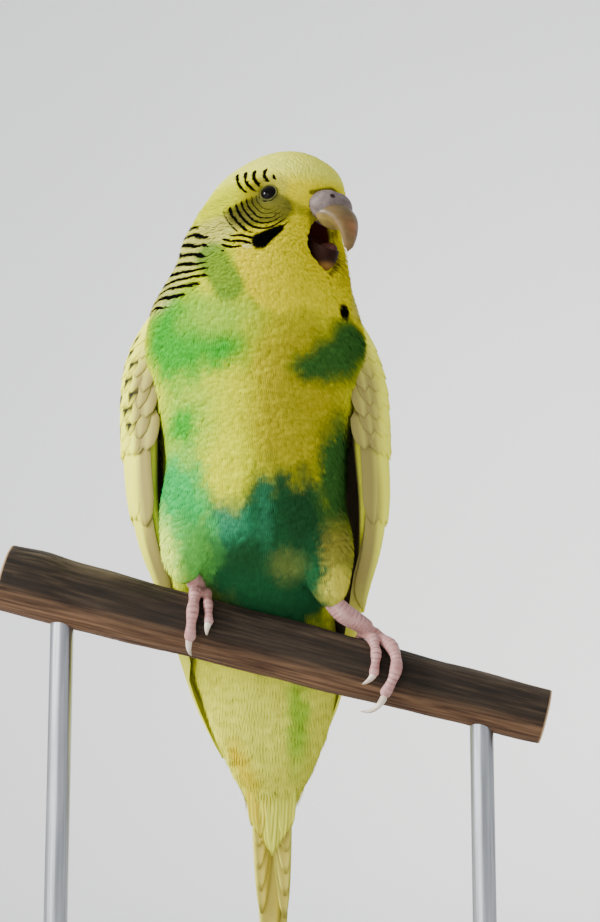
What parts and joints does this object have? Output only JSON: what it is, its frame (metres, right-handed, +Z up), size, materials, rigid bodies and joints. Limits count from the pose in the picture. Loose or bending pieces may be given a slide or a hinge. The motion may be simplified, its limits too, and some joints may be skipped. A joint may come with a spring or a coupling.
{
  "type": "budgerigar",
  "caption": "Yellow and green pied budgerigar as a still, life-size model, gripping a cut length of branch held by two short rods on a flat base.",
  "frame": {"origin": "centre of the stand base's flat underside", "axes": "+Z up out of the base, -Y the way the bird's chest faces, +X towards the bird's left wing"},
  "size_m": [0.124, 0.084, 0.1944],
  "materials": {
    "plumage_head": "soft matt feathers, yellow with fine black bars",
    "plumage_neck": "soft matt feathers, yellow with green sides",
    "plumage_body": "soft matt feathers, green and yellow patches",
    "plumage_tail": "smooth pale yellow vanes",
    "plumage_wing": "smooth pale yellow vanes with black scallops at the bend",
    "plumage_thigh": "soft matt feathers, green to yellow",
    "bare_skin": "dry scaled pink skin",
    "claw": "pale horn, satin",
    "eye": "wet black",
    "cere": "waxy grey with a lilac tint",
    "horn": "satin yellow-brown horn",
    "tongue": "dark, moist",
    "bark": "dry dark brown bark with long streaks",
    "stand": "plain pale grey, matt",
    "stand_rod": "plain steel"
  },
  "bodies": {
    "root": {"head": "plumage_head", "neck": "plumage_neck", "torso": "plumage_body", "tail": "plumage_tail", "wing_right": "plumage_wing", "wing_left": "plumage_wing", "thigh_right": "plumage_thigh", "thigh_left": "plumage_thigh", "foot_right": "bare_skin", "foot_left": "bare_skin", "eye_right": "eye", "eye_left": "eye", "cere": "cere", "beak_upper": "horn", "beak_lower": "horn", "tongue": "tongue", "perch": "bark", "stand_base": "stand", "stand_rod_right": "stand_rod", "stand_rod_left": "stand_rod", "claw_right_inner": "claw", "claw_right_outer": "claw", "claw_right_back_inner": "claw", "claw_right_back_outer": "claw", "claw_left_inner": "claw", "claw_left_outer": "claw", "claw_left_back_inner": "claw", "claw_left_back_outer": "claw"}
  },
  "joints": []
}
